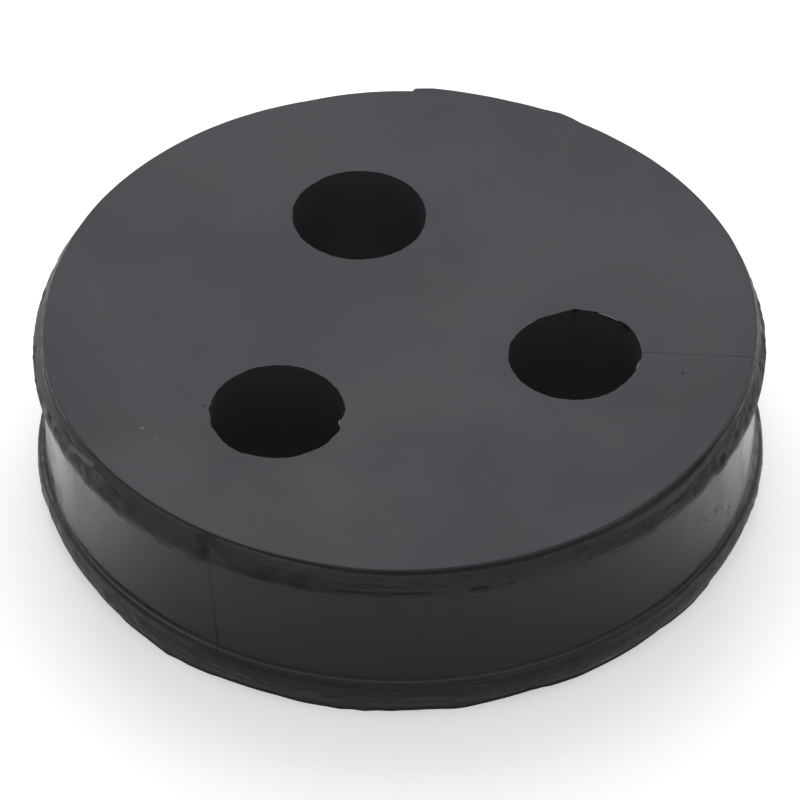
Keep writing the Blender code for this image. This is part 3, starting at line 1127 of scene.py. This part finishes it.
def skin_colour(tree, part):
    """The colour of the whole skin: clouded faces, waist, lips, holes, painted light and shade on the lips,
    pale flash, and the wear on them.
    """
    bloom = blend(tree, part.cloud, BLOOM_DARK, BLOOM_PALE)
    bloom = blend(tree, fade(tree, part.warm, *WARM_RANGE, 0.0, 0.35), bloom, BLOOM_WARM)
    waist = blend(tree, part.cloud, WAIST_DARK, WAIST_PALE)
    side = blend(tree, part.lip, waist, lip_colour(tree, part))
    # Painted light in the corner above the lower ledge, brighter on the left
    side = blend(tree, part.corner, side, blend(tree, part.leftward, LEDGE_TONE_AND_CORNER_LIGHT, CORNER_LIGHT_LEFT))
    side = blend(tree, part.hole, side, HOLE_TONE)
    skin = blend(tree, part.face, side, bloom)
    # Painted shade in the crease, the dents and the dull band
    skin = blend(tree, times(tree, part.dark, 0.8), skin, PAINTED_SHADE_TONE)
    # Pale flash and slivers, and painted light on the band, the flash line and the lower lip's sides
    skin = blend(tree, part.pale, skin, PALE_FLASH_AND_LIGHT_TONE)
    skin = blend(tree, times(tree, part.scuff, 0.7), skin, SCUFF_TONE)
    return blend(tree, part.marks, skin, TORN_TONE)


def skin_roughness(tree, part):
    """How rough the skin is: dull faces, mottled lips, a smooth waist, and the wear on them."""
    lip = fade(tree, part.mottle, *MIDDLE_RANGE, *LIP_ROUGHNESS)
    lip = mix_value(tree, fade(tree, part.light, 0.1, 0.35), lip, BAND_ROUGHNESS)
    lip = mix_value(tree, larger(tree, part.overhung, part.dark), lip, DARK_ROUGHNESS)
    waist = fade(tree, part.streak, *MIDDLE_RANGE, *WAIST_ROUGHNESS)
    face = fade(tree, part.cloud, 0.3, 0.7, *FACE_ROUGHNESS)
    rough = mix_value(tree, part.face, mix_value(tree, part.lip, waist, lip), face)
    rough = mix_value(tree, larger(tree, part.hole, part.scuff), rough, WORN_ROUGHNESS)
    rough = mix_value(tree, fade(tree, part.light, 0.15, 0.3, 0.0, 0.8), rough, FLASH_ROUGHNESS)
    rough = mix_value(tree, part.torn, rough, TORN_ROUGHNESS)
    return mix_value(tree, fade(tree, part.marks, 0.0, 0.3), rough, MARK_ROUGHNESS)


def bump(tree, height, strength, distance):
    """A relief in the skin that only shades it."""
    inputs = {"Height": height, "Strength": strength, "Distance": distance}
    return add_node(tree, "ShaderNodeBump", inputs)


def rubber_material():
    """Black rubber: a dull bloomed skin on what faces up or down, a smoother one on the waist."""
    material = bpy.data.materials.new("black_rubber_skin")
    material.use_nodes = True
    tree = material.node_tree
    shader = tree.nodes["Principled BSDF"]
    shader.inputs["IOR"].default_value = RUBBER_IOR
    part = skin_parts(tree)
    tree.links.new(skin_colour(tree, part), shader.inputs["Base Color"])
    tree.links.new(skin_roughness(tree, part), shader.inputs["Roughness"])

    fine = bump(tree, noise_of(tree, part.place, *GRAIN), *GRAIN_BUMP)
    pulled = bump(tree, part.streak, *STREAK_BUMP)
    tree.links.new(fine.outputs[0], pulled.inputs["Normal"])
    tree.links.new(pulled.outputs[0], shader.inputs["Normal"])
    return material


# Stage

def seen_by_eye(tree, to_camera, to_gloss):
    """A strength that the camera sees, and one that gloss and clear things see."""
    path = add_node(tree, "ShaderNodeLightPath").outputs
    gloss = larger(tree, path["Is Glossy Ray"], path["Is Transmission Ray"])
    eye = times(tree, path["Is Camera Ray"], to_camera)
    return larger(tree, eye, times(tree, gloss, to_gloss))


def make_floor():
    """A pale floor that stays white to the eye and keeps the disc's shadow, with a painted pool of light
    behind the disc for reflections.
    """
    bpy.ops.mesh.primitive_plane_add(size=FLOOR_SIZE, location=(0.0, 0.0, cad_low.z - FLOOR_DROP))
    floor = bpy.context.object
    floor.name = "studio_floor"
    material = bpy.data.materials.new("pale_floor")
    material.use_nodes = True
    tree = material.node_tree
    tree.nodes.clear()
    matt = add_node(tree, "ShaderNodeBsdfDiffuse", {"Color": FLOOR_TONE})
    place = add_node(tree, "ShaderNodeTexCoord").outputs["Object"]
    spot = axes_of(tree, place)
    # Painted pool of light for reflections only: the glow that gloss sees is strong behind the disc and weak
    # in front
    deep = math_node(tree, "SUBTRACT", spot["Y"], times(tree, spot["X"], FLOOR_TILT))
    behind = fade(tree, deep, -45 * MM, 10 * MM, *FLOOR_GLOSS)
    strength = seen_by_eye(tree, FLOOR_GLOW, behind)
    glow = add_node(tree, "ShaderNodeEmission", {"Color": WHITE, "Strength": strength})
    both = add_node(tree, "ShaderNodeAddShader", {0: matt.outputs[0], 1: glow.outputs[0]})
    add_node(tree, "ShaderNodeOutputMaterial", {"Surface": both.outputs[0]})
    floor.data.materials.append(material)


def make_world():
    """White to the eye, and a soft light that grows from the horizon up to overhead."""
    world = bpy.data.worlds.new("studio")
    bpy.context.scene.world = world
    world.use_nodes = True
    tree = world.node_tree
    tree.nodes.clear()
    way = add_node(tree, "ShaderNodeTexCoord").outputs["Generated"]
    sky = fade(tree, axes_of(tree, way)["Z"], 0.0, 0.9, *SKY)
    strength = larger(tree, sky, seen_by_eye(tree, 1.0, SKY_GLOSS))
    background = add_node(tree, "ShaderNodeBackground", {"Color": WHITE, "Strength": strength})
    add_node(tree, "ShaderNodeOutputWorld", {"Surface": background.outputs[0]})


def make_key_light():
    """A square soft box above and behind the disc."""
    data = bpy.data.lights.new("key", "AREA")
    data.shape = "SQUARE"
    data.size = KEY_SIZE
    data.energy = KEY_POWER
    light = add_object("key", data)
    light.location = KEY_PLACE
    light.rotation_mode = "QUATERNION"
    light.rotation_quaternion = (Vector(KEY_AIM) - Vector(KEY_PLACE)).to_track_quat("-Z", "Y")


bpy.context.scene.view_settings.view_transform = "Standard"
make_camera()
rubber = rubber_material()
insert = cut_moulding(turned_moulding(rubber), rubber)
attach(insert, "root")
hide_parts(NODE)
make_floor()
make_world()
make_key_light()
